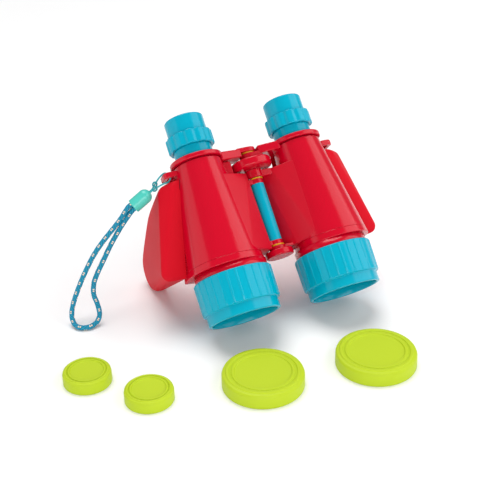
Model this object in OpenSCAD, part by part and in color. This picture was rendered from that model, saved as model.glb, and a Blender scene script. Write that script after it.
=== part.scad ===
// Toy binoculars with two push-on cap sizes and a wrist lanyard.
// Each half is built along its own upright axis: X across the pair, Y towards the belly,
// Z from the front rims to the eyepieces. The pair then leans back onto its grips.

/* [Stance] */
// Lean of the barrels from upright, resting on the front rims and the grips
lean = 43.4; // [40:0.2:47]

/* [Barrels] */
// Distance between the two optical axes
axis_gap = 60.4; // [59:0.2:64]
// Radius of a barrel at its eyepiece end
barrel_rear_r = 13.5; // [13:0.1:14.2]
// Radius of a barrel at its objective end
barrel_front_r = 21.2; // [20.8:0.1:22]
// Outward shift of the wide end from the optical axis
barrel_splay = 1.8; // [1.4:0.1:2.4]
// Length of the tapered shell behind the front collar
shell_len = 57.2; // [55.5:0.1:59]
// Thickness of shell and cover at the wide end
barrel_wall = 4.1; // [3.6:0.1:4.6]
// Share of the wide end's radius at which the top shell meets the belly cover
split_share = 0.405; // [0.38:0.005:0.44]
// Depth of the squared outer corner at the wide end
skirt_drop = 13; // [10:0.5:16]
// Width of that corner
skirt_w = 2.4; // [1.5:0.1:4]

/* [Webs] */
// Distance of each web's flat face from the hinge plane
web_gap = 7.5; // [7:0.1:8.5]
// Height of the web's ridge above the axis plane, at its shoulder
web_rear_rise = 5.1; // [4:0.1:7]
// Height of the web's ridge above the axis plane, at the objective end
web_front_rise = 9.4; // [7:0.1:10.5]
// Width of the web's flat before it sweeps into the barrel
web_w = 3; // [2:0.1:4]
// Set-back of the web from the front of the shell
web_inset = 0.5; // [0.3:0.1:1.2]
// Length of shell between the web's shoulder, under the focus wheel, and the eyepiece end
shoulder_len = 11; // [10.7:0.1:12.5]

/* [Objectives] */
// Outer radius of the lip that takes a large cap
lip_r = 20; // [19.6:0.1:20.4]
// Length of the lip
lip_len = 5.8; // [4.5:0.1:7]
// Outer radius over the ribs of the objective ring
ring_r = 21.8; // [21.4:0.1:22.6]
// Length of the ribbed ring
ring_len = 18.2; // [17:0.1:20]
// Number of ribs round the ring
rib_count = 28; // [16:2:40]
// Height of a rib
rib_h = 0.45; // [0.3:0.05:0.8]
// Width of a rib
rib_w = 0.9; // [0.5:0.05:1.5]
// Wall at the front edge of the lip
lip_wall = 1.7; // [1.2:0.1:2.2]
// Depth of the flared mouth in front of the lens
mouth_depth = 9.4; // [8:0.1:10.5]
// Outer radius of the neck behind the ring
neck_r = 18.4; // [18:0.1:18.8]
// Wall of the neck
neck_wall = 1.8; // [1.5:0.1:2.2]
// Length of neck seen between ring and barrel
neck_len = 3.6; // [2.5:0.1:5]
// Length of the band in front of the shell
band_len = 3.8; // [3:0.1:5]
// Thickness of the lens retaining ring
retainer_t = 1.8; // [1.2:0.1:2.4]
// Thickness of the objective lens at its edge
lens_edge = 1.6; // [1:0.1:2.2]
// Surface radius of both sides of the objective lens
lens_curve_r = 90; // [70:5:140]

/* [Eyepieces] */
// Outer radius of the sliding eyepiece tube
tube_r = 10.8; // [10.5:0.1:11.2]
// Wall of the eyepiece tube
tube_wall = 1.4; // [1.1:0.1:1.8]
// Length of tube inside the barrel at rest
tube_engage = 10.5; // [9:0.1:12]
// Length of tube seen between plate and dioptre ring
tube_show = 6.1; // [4:0.1:8]
// Thickness of the dioptre ring over its lobes, outside the eyepiece tube
dioptre_wall = 2.35; // [2:0.05:3]
// Length of the dioptre ring
dioptre_len = 8.1; // [7:0.1:9.5]
// Number of lobes round the dioptre ring
lobe_count = 12; // [8:1:18]
// Radius of the hollows between the lobes
lobe_cut_r = 1.9; // [1.2:0.1:2.6]
// Depth of those hollows
lobe_depth = 0.75; // [0.4:0.05:1]
// Step of the eyecup, which takes a small cap, outside the eyepiece tube
cup_step = 0.3; // [0:0.1:0.8]
// Length of the eyecup
cup_len = 9.9; // [8:0.1:12]
// Wall of the eyecup
cup_wall = 1.9; // [1.5:0.1:2.4]
// Thickness of the eyepiece lens
eye_lens_t = 2.2; // [1.6:0.1:2.8]

/* [Bridge] */
// Gap between the barrel's end and the bridge plate at rest
plate_gap = 0.6; // [0.4:0.1:1.2]
// Thickness of the plate round each eyepiece tube
plate_t = 2.6; // [2:0.1:3.4]
// Radius of that plate
plate_r = 14.9; // [14:0.1:15.6]
// Drop of the arm below the plate
arm_drop = 2.6; // [2:0.1:3]
// Step from the plate's top down to the arm's
arm_dip = 0.5; // [0.2:0.1:1]
// Half width of the arm where it leaves the plate
arm_root = 7; // [6:0.1:8]
// Radius of the arm's knuckle, and half width of the arm there
arm_knuckle_r = 5; // [4.6:0.1:5.6]
// Drop of the lower knuckle below its arm
knuckle_drop = 1.2; // [0.8:0.1:1.6]

/* [Hinge] */
// Outer radius of the hinge tube through all knuckles
hinge_tube_r = 2.6; // [2.4:0.05:2.9]
// Radius of the focus spindle inside it
spindle_r = 1.75; // [1.5:0.05:1.9]
// Radius of the blue sleeve
sleeve_r = 3.75; // [3.5:0.05:3.9]
// Rise of the right half's upper knuckle above the shoulder
knuckle_rise = 1; // [0.8:0.05:1.4]
// Radius of the left half's knuckles beside the sleeve
left_knuckle_r = 3.9; // [3.6:0.1:4.4]
// Radius of the right half's knuckles
right_knuckle_r = 4.8; // [4.4:0.1:5.4]
// Length of the left half's lower knuckle
left_low_len = 2.5; // [2:0.1:3]
// Length of the left half's upper knuckle
left_high_len = 2.6; // [2.2:0.1:3.2]
// Length of the right half's lower knuckle
right_low_len = 2.1; // [1.8:0.1:2.6]
// Length of the right half's upper knuckle
right_high_len = 4.6; // [3.8:0.1:5]
// Half width of the tongues that carry the knuckles
tongue_w = 3.2; // [2.6:0.1:3.8]
// Thickness of the thrust washers
washer_t = 0.7; // [0.5:0.05:0.9]
// Radius of the thrust washers
washer_r = 4.1; // [3.8:0.1:4.5]
// Radius of the cap at the objective end of the hinge
hinge_cap_r = 7.9; // [7:0.1:8.6]
// Length of that cap
hinge_cap_len = 3.5; // [3:0.1:4.5]

/* [Focus wheel] */
// Radius of the wheel
wheel_r = 11.6; // [10.5:0.1:12.4]
// Width of the wheel
wheel_w = 5.2; // [4.4:0.1:5.6]
// Rounding of its rim's edges
wheel_edge_r = 1.4; // [0.8:0.1:2]
// Radius of its hub
wheel_hub_r = 4.6; // [4:0.1:5.2]

/* [Grips] */
// Width of the front face beyond the barrel, at the eyepiece end
grip_rear_w = 8.6; // [7.6:0.1:10]
// Width of the front face beyond the barrel, at the objective end
grip_front_w = 13.5; // [11.5:0.1:15]
// Depth of the front face under the axis plane, at the objective end
grip_face_drop = 6; // [5:0.2:7]
// Rise of the front face over that depth at the eyepiece end, along its outer edge
grip_outer_rise = 4.6; // [3:0.2:6]
// Rise of the front face at the eyepiece end, beside the barrel
grip_inner_rise = 10; // [8:0.2:11]
// Distance of the grip's end from the barrel's eyepiece end
grip_rear_inset = 7.9; // [7:0.1:9]
// Distance of the grip's other end from the front of the band
grip_front_inset = 2.4; // [1.5:0.1:5]
// Corner radius of the front face
grip_corner_r = 5; // [4:0.1:6]
// Edge radius of the front face
grip_edge_r = 2; // [1.2:0.1:2.6]
// Height of the foot's centre along the barrel
foot_z = 48.5; // [45:0.5:51]
// Radius of the foot that stands on the table
foot_r = 13; // [11:0.1:14]
// Outer face of the foot, from the hinge plane
foot_x = 60; // [58:0.2:62]
// Thickness of the grip at the foot
foot_t = 10; // [9:0.2:12]
// Edge radius of the foot, and of the round back above it
foot_edge_r = 3.6; // [3:0.1:4.2]
// Distance of the round back's centre from the barrel's eyepiece end
back_inset = 26.9; // [25:0.1:29]
// Depth of that centre under the axis plane
back_drop = 29; // [26:0.5:32]
// Radius of the round back
back_r = 15; // [13:0.1:16]
// Set-in of the back's outer face from the foot's
back_step = 2.7; // [1.5:0.1:4]

/* [Strap lugs] */
// Thickness of a lug along the barrel
lug_t = 3; // [2.6:0.1:3.6]
// Distance of its underside from the barrel's eyepiece end
lug_drop = 4.6; // [4:0.1:5.2]
// Reach beyond the barrel
lug_reach = 6.7; // [6.2:0.1:7.2]
// Reach above the axis plane
lug_front = 3.4; // [3:0.1:4]
// Reach under the axis plane
lug_back = 7.8; // [7:0.1:7.9]
// Radius of its two outer corners
lug_corner_r = 3; // [2:0.1:3.4]
// Half width of the slot for a string
slot_r = 1.95; // [1.7:0.05:2]
// Width of the bar outside the slot
lug_bar = 2.3; // [2:0.1:2.4]
// Width of the lug at either end of the slot
lug_end = 1.4; // [1.2:0.1:1.6]

/* [Caps] */
// Height of a large cap
large_cap_h = 8.3; // [7:0.1:10]
// Wall of a large cap
large_cap_wall = 0.85; // [0.7:0.05:1.2]
// Height of a small cap
small_cap_h = 6.9; // [6:0.1:9]
// Wall of a small cap
small_cap_wall = 1.25; // [0.9:0.05:1.5]
// Thickness of a cap's roof
cap_roof = 1.3; // [1:0.1:1.6]
// Rounding of a cap's top edge
cap_edge = 1.1; // [0.8:0.1:1.3]
// Thickness of the two ridges on a cap
cap_ridge = 0.9; // [0.6:0.1:1.2]

/* [Layout of the caps on the table] */
// First large cap, right of the hinge plane
large_a_x = -38.5; // [-45:0.5:-30]
// First large cap, behind the front rims
large_a_y = -40; // [-60:0.5:-38]
// Second large cap, right of the hinge plane
large_b_x = 21.5; // [16:0.5:30]
// Second large cap, behind the front rims
large_b_y = -49; // [-60:0.5:-44]
// First small cap, right of the hinge plane
small_a_x = -118; // [-125:0.5:-113]
// First small cap, behind the front rims
small_a_y = 1.5; // [-10:0.5:4]
// Second small cap, right of the hinge plane
small_b_x = -94.5; // [-100:0.5:-90]
// Second small cap, behind the front rims
small_b_y = -26.5; // [-36:0.5:-24]

/* [Lanyard] */
// Diameter of the wrist cord
cord_d = 2.8; // [2.4:0.1:3]
// Diameter of the thin string
string_d = 0.9; // [0.7:0.05:1]
// Radius of the crimp
crimp_r = 4; // [3.6:0.1:4.5]
// Length of the crimp
crimp_len = 12; // [11:0.1:13]

/* [Fits] */
// Radial clearance of a turning or sliding fit
run_fit = 0.06; // [0.03:0.01:0.1]
// Radial clearance of pieces that are pressed together
seat_fit = 0.02; // [0.01:0.01:0.04]
// Axial play beside a turning knuckle
play = 0.25; // [0.2:0.05:0.35]
// Radial clearance of a cap on its lip
cap_fit = 0.15; // [0.1:0.01:0.25]
// Gap along the seam between grip and barrel
seam_gap = 0.15; // [0.1:0.05:0.3]

/* [Hidden] */
$fn = 64;
hull_fn = 48;
bead_fn = 24;
over = 1;
slab = 0.6;
lens_fn = 300;
collar_spigot_share = 0.75;
red = [0.86, 0.07, 0.14];
satin_red = [0.82, 0.13, 0.17];
blue = [0.0, 0.62, 0.74];
lime = [0.75, 0.85, 0.15];
yellow = [0.86, 0.66, 0.1];
mint = [0.36, 0.83, 0.78];
glass = [0.8, 0.9, 0.95, 0.5];
left = -1;
right = 1;

// Stations along a barrel, from the front rim
axis_x = axis_gap / 2;
ring_z = lip_len;
neck_z = ring_z + ring_len;
band_z = neck_z + neck_len;
shell_z = band_z + band_len;
rear_z = shell_z + shell_len;
web_z = shell_z + web_inset;
shoulder_z = rear_z - shoulder_len;
lug_z = rear_z - lug_drop;
back_z = rear_z - back_inset;
retainer_z = mouth_depth;
lens_z = retainer_z + retainer_t;
plate_z = rear_z + plate_gap;
plate_top_z = plate_z + plate_t;
dioptre_z = plate_top_z + tube_show;
cup_z = dioptre_z + dioptre_len;
top_z = cup_z + cup_len;
block = top_z + axis_gap;
split_drop = barrel_front_r * split_share;

// Bores
neck_bore_r = neck_r - neck_wall;
lens_r = neck_r - neck_wall / 2;
retainer_bore_r = neck_bore_r - neck_wall / 2;
lens_set = sag(lens_curve_r, lens_r) - sag(lens_curve_r, retainer_bore_r) + seat_fit;
lens_crown = sag(lens_curve_r, lens_r) - sag(lens_curve_r, neck_bore_r) + seat_fit;
dioptre_r = tube_r + dioptre_wall;
cup_r = tube_r + cup_step;
tube_bore_r = tube_r - tube_wall;
cup_bore_r = cup_r - cup_wall;
cup_seat_r = cup_bore_r - cup_wall / 3;
cup_spigot_r = cup_seat_r + cup_wall / 2;
cup_spigot_len = dioptre_len / 4;
guide_len = tube_engage;
collar_spigot = band_len * collar_spigot_share;
spigot_r = neck_bore_r + neck_wall / 2;

// Hinge stack, from the objective end
cap_z = band_z;
right_low_z = cap_z + hinge_cap_len + play;
washer_low_z = right_low_z + right_low_len + play;
left_low_z = washer_low_z + washer_t;
sleeve_z = left_low_z + left_low_len;
hinge_top_z = shoulder_z + knuckle_rise;
right_high_z = hinge_top_z - right_high_len;
washer_mid_z = right_high_z - play - washer_t;
left_high_z = washer_mid_z - left_high_len;
sleeve_len = left_high_z - sleeve_z;
arm_z = plate_z - arm_drop;
arm_top_z = plate_top_z - arm_dip;
arm_split_z = (arm_z + arm_top_z) / 2;
low_knuckle_z = arm_z - knuckle_drop;
hub_z = hinge_top_z + play;
hub_len = low_knuckle_z - play - hub_z;
wheel_z = hub_z + wheel_w / 2 + play;
spindle_z = sleeve_z + sleeve_len / 2;

// Stance
lift = lip_r * sin(lean);
foot_drop = foot_z / tan(lean) + lip_r - foot_r / sin(lean);

// Origin at the bottom centre of the box round binoculars and caps
large_cap_r = lip_r + cap_fit + large_cap_wall;
small_cap_r = cup_r + cap_fit + small_cap_wall;
grip_front_z = band_z + grip_front_inset;
grip_rear_z = rear_z - grip_rear_inset;
low_x = small_a_x - small_cap_r;
high_x = flank_x(grip_front_z + grip_corner_r) + grip_front_w;
low_y = large_b_y - large_cap_r;
cup_back_y = top_z * sin(lean) + cup_r * cos(lean);
foot_back_y = foot_z * sin(lean) + foot_drop * cos(lean) + foot_r;
high_y = max(cup_back_y, foot_back_y);
origin_x = (low_x + high_x) / 2;
origin_y = (low_y + high_y) / 2;

// Lanyard route on the table, before the shift to the origin
crimp_tip = [-59, 59, 69];
crimp_base_way = [-0.82, 0.05, -0.57];
string_route = [
  [-55, 58.5, 71], [-51.5, 58, 72.5], [-48.5, 57.5, 73.5], [-46.5, 60, 75], [-48.5, 62.5, 76.5],
  [-52, 62, 75], [-55.5, 60.5, 72]
];
cord_route = [
  [-77, 60, 55.5], [-82.5, 60.5, 49.5], [-88, 61, 43.5], [-93, 61, 37.5], [-97.5, 60.5, 31],
  [-101.5, 60, 24.5], [-105, 59.5, 18], [-108, 59, 11.5], [-110, 57.5, 6], [-110.5, 54, 2.8],
  [-109.5, 50, 1.7], [-106.5, 47.5, 1.5], [-102.5, 47, 1.6], [-98.5, 48.5, 2.6], [-96, 51, 5.5],
  [-96, 53.5, 10.5], [-97, 55.5, 16], [-96, 57, 21.5], [-94, 57.5, 26], [-91.5, 57.5, 30.5],
  [-88, 58, 36], [-84.5, 58.5, 41.5], [-80.5, 59, 47], [-76.5, 59, 52.5]
];
cord_sides = 8;
string_steps = 3;
strand_share = 0.58;
string_gap_share = 0.65;

// Depth of a spherical surface at a given radius from its axis
function sag(curve_r, r) = curve_r - sqrt(curve_r * curve_r - r * r);

// Radius and axis of the tapered shell at a station
function taper(z) = (rear_z - z) / (rear_z - band_z);
function shell_r(z) = barrel_rear_r + (barrel_front_r - barrel_rear_r) * taper(z);
function shell_x(z) = axis_x + barrel_splay * taper(z);
function flank_x(z) = shell_x(z) + shell_r(z);

// Places a module built for the right half on either half
module half(side) {
  if (side == right) {
    children();
  } else {
    mirror([1, 0, 0]) children();
  }
}

// Leans the upright pair back onto its grips
module stand() {
  translate([-origin_x, -origin_y, lift]) rotate([-lean, 0, 0]) children();
}

// Puts a loose piece on the table
module on_table(x, y) {
  translate([x - origin_x, y - origin_y, 0]) children();
}

module on_axis(z) {
  translate([axis_x, 0, z]) children();
}

module shell_disc(z, grow) {
  translate([shell_x(z), 0, z]) cylinder(h = slab, r = shell_r(z) + grow, $fn = hull_fn);
}

// Tapered shell with its squared outer corner at the wide end
module taper_body(grow) {
  hull() {
    shell_disc(band_z, grow);
    shell_disc(rear_z - slab, grow);
    translate([flank_x(band_z) - skirt_w + grow, 0, band_z])
      cube([skirt_w, skirt_drop, slab]);
  }
}

// Web that sweeps from the flat beside the hinge into the barrel
module web_body() {
  hull() {
    shell_disc(web_z, -seam_gap);
    shell_disc(shoulder_z - slab, -seam_gap);
    translate([web_gap, -web_front_rise, web_z]) cube([web_w, web_front_rise + split_drop, slab]);
    translate([web_gap, -web_rear_rise, shoulder_z - slab])
      cube([web_w, web_rear_rise + split_drop, slab]);
  }
}

// Light path through shell and cover, with the guide for the eyepiece tube
module light_path() {
  on_axis(shell_z - over) cylinder(h = collar_spigot + over, r = spigot_r + seat_fit);
  on_axis(shell_z) cylinder(h = shell_len - guide_len, r1 = shell_r(shell_z) - barrel_wall, r2 = tube_r);
  on_axis(rear_z - guide_len - over) cylinder(h = guide_len + 2 * over, r = tube_r + run_fit);
}

module belly_side(gap) {
  translate([-block / 2, split_drop + gap, -block / 2]) cube([block, block, 2 * block]);
}

module front_side() {
  translate([-block / 2, -block / 2, shell_z - block]) cube([block, block, block]);
}

// Tongue and round knuckle from a web to the hinge axis
module knuckle(z, len, r) {
  translate([0, 0, z]) cylinder(h = len, r = r);
  low = max(z, web_z);
  high = min(z + len, shoulder_z);
  translate([0, -tongue_w, low]) cube([web_gap + web_w, 2 * tongue_w, high - low]);
}

// Flat lug square to the barrel, with a slot along it
module lug_outline() {
  edge = flank_x(lug_z) + lug_reach;
  width = lug_front + lug_back;
  translate([axis_x, -lug_front]) square([edge - lug_corner_r - axis_x, width]);
  translate([axis_x, lug_corner_r - lug_front]) square([edge - axis_x, width - 2 * lug_corner_r]);
  for (y = [lug_corner_r - lug_front, lug_back - lug_corner_r]) {
    translate([edge - lug_corner_r, y]) circle(r = lug_corner_r);
  }
}

module slot_outline() {
  middle = flank_x(lug_z) + lug_reach - lug_bar - slot_r;
  first = lug_end + slot_r - lug_front;
  last = lug_back - lug_end - slot_r;
  for (y = [first, last]) {
    translate([middle, y]) circle(r = slot_r);
  }
  translate([middle - slot_r, first]) square([2 * slot_r, last - first]);
}

module lug() {
  translate([0, 0, lug_z]) linear_extrude(lug_t) lug_outline();
}

module lug_slot() {
  translate([0, 0, lug_z - over]) linear_extrude(lug_t + 2 * over) slot_outline();
}

// Knuckles are given as start, length and radius
module top_shell(side, knuckles) {
  color(red) stand() half(side) difference() {
    union() {
      difference() {
        union() {
          taper_body(0);
          web_body();
          lug();
        }
        front_side();
        belly_side(0);
        light_path();
      }
      for (k = knuckles) {
        knuckle(k[0], k[1], k[2]);
      }
    }
    lug_slot();
    translate([0, 0, band_z]) cylinder(h = rear_z - band_z, r = hinge_tube_r + run_fit);
  }
}

module belly_cover(side) {
  color(red) stand() half(side) difference() {
    intersection() {
      taper_body(0);
      belly_side(0);
    }
    front_side();
    light_path();
  }
}

module front_collar(side) {
  color(red) stand() half(side) difference() {
    union() {
      intersection() {
        taper_body(0);
        front_side();
      }
      on_axis(lens_z) cylinder(h = band_z - lens_z + slab, r = neck_r);
      on_axis(shell_z - slab) cylinder(h = collar_spigot + slab, r = spigot_r);
    }
    on_axis(lens_z - over) cylinder(h = shell_z - lens_z + collar_spigot + 2 * over, r = neck_bore_r);
    on_axis(lens_z - over) cylinder(h = lens_set + lens_edge + lens_crown + over, r = lens_r + seat_fit);
  }
}

// Rounded corner of the grip's front face
module grip_bead(x, z, rise) {
  translate([x, grip_face_drop - rise + grip_edge_r, z])
    rotate([90, 0, 0])
      rotate_extrude($fn = bead_fn)
        translate([grip_corner_r - grip_edge_r, 0]) circle(r = grip_edge_r, $fn = bead_fn);
}

// Rounded rim of the foot or of the back above it
module side_rim(x, y, z, r) {
  translate([x, y, z])
    rotate([0, 90, 0])
      rotate_extrude($fn = 2 * bead_fn)
        translate([r - foot_edge_r, 0]) circle(r = foot_edge_r, $fn = bead_fn);
}

module grip(side) {
  low = grip_front_z + grip_corner_r;
  high = grip_rear_z - grip_corner_r;
  color(satin_red) stand() half(side) difference() {
    hull() {
      grip_bead(flank_x(low), low, 0);
      grip_bead(flank_x(low) + grip_front_w - grip_corner_r, low, 0);
      grip_bead(flank_x(high), high, grip_inner_rise);
      grip_bead(flank_x(high) + grip_rear_w - grip_corner_r, high, grip_outer_rise);
      for (x = [foot_x - foot_edge_r, foot_x - foot_t + foot_edge_r]) {
        side_rim(x, foot_drop, foot_z, foot_r);
        side_rim(x - back_step, back_drop, back_z, back_r);
      }
    }
    taper_body(seam_gap);
  }
}

module ring_outline() {
  circle(r = ring_r - rib_h);
  for (i = [0 : rib_count - 1]) {
    rotate(i * 360 / rib_count)
      translate([ring_r / 2, -rib_w / 2]) square([ring_r / 2, rib_w]);
  }
}

module objective_ring(side) {
  seat_z = retainer_z;
  color(blue) stand() half(side) difference() {
    union() {
      on_axis(0) cylinder(h = lip_len, r = lip_r);
      on_axis(ring_z) linear_extrude(ring_len) ring_outline();
    }
    on_axis(seat_z) cylinder(h = neck_z - seat_z + over, r = neck_r + seat_fit);
    on_axis(0) cylinder(h = mouth_depth + over, r1 = lip_r - lip_wall, r2 = retainer_bore_r);
  }
}

module objective_lens(side) {
  bulge = sag(lens_curve_r, lens_r);
  low = lens_z + lens_set;
  high = low + lens_edge;
  color(glass) stand() half(side) intersection() {
    on_axis(low - bulge) cylinder(h = lens_edge + 2 * bulge, r = lens_r);
    on_axis(high + bulge - lens_curve_r) sphere(r = lens_curve_r, $fn = lens_fn);
    on_axis(low - bulge + lens_curve_r) sphere(r = lens_curve_r, $fn = lens_fn);
  }
}

module lens_retainer(side) {
  color(blue) stand() half(side) difference() {
    on_axis(retainer_z) cylinder(h = retainer_t, r = neck_r);
    on_axis(retainer_z - over) cylinder(h = retainer_t + 2 * over, r = retainer_bore_r);
  }
}

// Plate round the tube, with the arm that runs in to the hinge
module bridge_outline() {
  translate([axis_x, 0]) circle(r = plate_r);
}

module arm_outline() {
  inner = arm_knuckle_r + play;
  outer = axis_x - tube_r;
  polygon([[inner, -arm_knuckle_r], [outer, -arm_root], [outer, arm_root], [inner, arm_knuckle_r]]);
}

module arm_knuckle(z, len) {
  translate([0, 0, z]) {
    cylinder(h = len, r = arm_knuckle_r);
    translate([0, -arm_knuckle_r, 0]) cube([2 * arm_knuckle_r, 2 * arm_knuckle_r, len]);
  }
}

module bridge_arm(side, knuckle_z, knuckle_len) {
  arm_high = arm_top_z - arm_z;
  inner = arm_knuckle_r + play;
  color(red) stand() half(side) difference() {
    union() {
      translate([0, 0, plate_z]) linear_extrude(plate_t) bridge_outline();
      difference() {
        translate([0, 0, arm_z]) linear_extrude(arm_high) arm_outline();
        on_axis(arm_z - over) cylinder(h = arm_drop + over, r = barrel_rear_r + plate_gap);
      }
      intersection() {
        arm_knuckle(knuckle_z, knuckle_len);
        translate([-inner, -arm_knuckle_r, arm_z - knuckle_drop])
          cube([2 * inner + over, 2 * arm_knuckle_r, arm_high + 2 * knuckle_drop]);
      }
    }
    on_axis(plate_z - over) cylinder(h = plate_t + 2 * over, r = tube_r + seat_fit);
    translate([0, 0, arm_z - block / 4]) cylinder(h = block / 2, r = spindle_r + run_fit);
  }
}

module eyepiece_tube(side) {
  low = rear_z - tube_engage;
  high = cup_z - cup_spigot_len - play;
  color(blue) stand() half(side) difference() {
    on_axis(low) cylinder(h = high - low, r = tube_r);
    on_axis(low - over) cylinder(h = high - low + 2 * over, r = tube_bore_r);
  }
}

module lobe_outline() {
  difference() {
    circle(r = dioptre_r);
    for (i = [0 : lobe_count - 1]) {
      rotate(i * 360 / lobe_count)
        translate([dioptre_r + lobe_cut_r - lobe_depth, 0]) circle(r = lobe_cut_r);
    }
  }
}

module dioptre_ring(side) {
  seat_z = cup_z - cup_spigot_len;
  color(blue) stand() half(side) difference() {
    on_axis(dioptre_z) linear_extrude(dioptre_len) lobe_outline();
    on_axis(dioptre_z - over) cylinder(h = seat_z - dioptre_z + over, r = tube_r + run_fit);
    on_axis(dioptre_z) cylinder(h = dioptre_len + over, r = cup_spigot_r + seat_fit);
  }
}

module eyecup(side) {
  seat_z = cup_z + cup_len / 4;
  color(blue) stand() half(side) difference() {
    union() {
      on_axis(cup_z) cylinder(h = cup_len, r = cup_r);
      on_axis(cup_z - cup_spigot_len) cylinder(h = cup_spigot_len + slab, r = cup_spigot_r);
    }
    on_axis(cup_z - cup_spigot_len - over) cylinder(h = cup_len + cup_spigot_len, r = cup_seat_r);
    on_axis(seat_z) cylinder(h = cup_len, r = cup_bore_r);
  }
}

module eyepiece_lens(side) {
  seat_z = cup_z + cup_len / 4;
  color(glass) stand() half(side) difference() {
    on_axis(seat_z) cylinder(h = eye_lens_t, r = cup_bore_r - seat_fit);
    on_axis(seat_z + eye_lens_t / 2 + lens_curve_r / 3) sphere(r = lens_curve_r / 3, $fn = lens_fn);
  }
}

module tube_on_hinge(z, len, outer_r, inner_r) {
  stand() translate([0, 0, z]) difference() {
    cylinder(h = len, r = outer_r);
    translate([0, 0, -over]) cylinder(h = len + 2 * over, r = inner_r);
  }
}

module hinge_tube() {
  low = cap_z + hinge_cap_len / 4;
  color(blue) tube_on_hinge(low, hinge_top_z - low, hinge_tube_r, spindle_r + run_fit);
}

module shaft_sleeve() {
  color(blue) tube_on_hinge(sleeve_z, sleeve_len, sleeve_r, hinge_tube_r + run_fit);
}

module washer_bottom() {
  color(yellow) tube_on_hinge(washer_low_z, washer_t, washer_r, hinge_tube_r + run_fit);
}

module washer_middle() {
  color(yellow) tube_on_hinge(washer_mid_z, washer_t, washer_r, hinge_tube_r + run_fit);
}

module washer_top() {
  color(yellow) tube_on_hinge(arm_split_z - washer_t / 2, washer_t, washer_r, spindle_r + run_fit);
}

module focus_spindle() {
  color(blue) stand() translate([0, 0, spindle_z])
    cylinder(h = plate_top_z - spindle_z, r = spindle_r);
}

module hinge_cap() {
  color(red) stand() difference() {
    translate([0, 0, cap_z]) cylinder(h = hinge_cap_len, r = hinge_cap_r);
    translate([0, 0, cap_z + hinge_cap_len / 4])
      cylinder(h = hinge_cap_len, r = hinge_tube_r + seat_fit);
  }
}

// Wheel with rounded edges on a plain hub
module focus_wheel() {
  low = wheel_z - wheel_w / 2;
  high = wheel_z + wheel_w / 2;
  color(red) stand() difference() {
    union() {
      translate([0, 0, low]) cylinder(h = wheel_w, r = wheel_r - wheel_edge_r);
      translate([0, 0, low + wheel_edge_r]) cylinder(h = wheel_w - 2 * wheel_edge_r, r = wheel_r);
      for (z = [low + wheel_edge_r, high - wheel_edge_r]) {
        translate([0, 0, z]) rotate_extrude() translate([wheel_r - wheel_edge_r, 0])
          circle(r = wheel_edge_r);
      }
      translate([0, 0, hub_z]) cylinder(h = hub_len, r = wheel_hub_r);
    }
    translate([0, 0, hub_z - over]) cylinder(h = hub_len + 2 * over, r = spindle_r + run_fit);
  }
}

// Cap with a rounded edge, a dished top and two raised ridges, open side down
module cap(r, h, bore_r) {
  dish_r = r - 2 * cap_edge;
  ridge_shares = [0.84, 0.7];
  color(lime) difference() {
    union() {
      rotate_extrude() union() {
        square([r, h - cap_edge]);
        square([r - cap_edge, h]);
        translate([r - cap_edge, h - cap_edge]) circle(r = cap_edge);
      }
    }
    translate([0, 0, h - cap_ridge / 2]) cylinder(h = cap_ridge, r = dish_r * ridge_shares[1]);
    for (share = ridge_shares) {
      translate([0, 0, h]) rotate_extrude() translate([r * share + cap_ridge, 0])
        circle(r = cap_ridge / 2);
    }
    translate([0, 0, -over]) cylinder(h = h - cap_roof - cap_ridge / 2 + over, r = bore_r);
  }
}

module large_cap_a() {
  on_table(large_a_x, large_a_y) cap(large_cap_r, large_cap_h, lip_r + cap_fit);
}

module large_cap_b() {
  on_table(large_b_x, large_b_y) cap(large_cap_r, large_cap_h, lip_r + cap_fit);
}

module small_cap_a() {
  on_table(small_a_x, small_a_y) cap(small_cap_r, small_cap_h, cup_r + cap_fit);
}

module small_cap_b() {
  on_table(small_b_x, small_b_y) cap(small_cap_r, small_cap_h, cup_r + cap_fit);
}

// Catmull-Rom curve through hand-set points
function bend(a, b, c, d, t) =
  0.5 * (2 * b + (c - a) * t + (2 * a - 5 * b + 4 * c - d) * t * t + (3 * b - a - 3 * c + d) * t * t * t);
function curve(p, n) = [
  for (i = [0 : len(p) - 2], k = [0 : n - 1])
    bend(p[max(i - 1, 0)], p[i], p[i + 1], p[min(i + 2, len(p) - 1)], k / n),
  p[len(p) - 1]
];
function unit(v) = v / norm(v);
function way(p, i) = unit(p[min(i + 1, len(p) - 1)] - p[max(i - 1, 0)]);

// Ring of points square to the route; the reference way is never along it
function ring(p, i, r, ref) =
  let (t = way(p, i), s = unit(cross(t, ref)), u = cross(s, t))
  [for (k = [0 : cord_sides - 1]) p[i] + r * (cos(k * 360 / cord_sides) * s + sin(k * 360 / cord_sides) * u)];

// Closed tube along a route, as one swept surface
module tube(p, d, ref) {
  n = cord_sides;
  last = (len(p) - 1) * n;
  points = [for (i = [0 : len(p) - 1]) each ring(p, i, d / 2, ref)];
  walls = [
    for (i = [0 : len(p) - 2], k = [0 : n - 1])
      let (a = i * n + k, b = i * n + (k + 1) % n)
      each [[a, b, b + n], [a, b + n, a + n]]
  ];
  ends = [
    for (k = [1 : n - 2])
      each [[0, k + 1, k], [last, last + k, last + k + 1]]
  ];
  polyhedron(points = points, faces = concat(walls, ends));
}

crimp_way = unit(crimp_base_way);
crimp_side = unit(cross(crimp_way, [0, 1, 0]));
crimp_base = crimp_tip + crimp_len * crimp_way;
strand_off = cord_d * strand_share;
string_off = string_d * string_gap_share;

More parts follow.
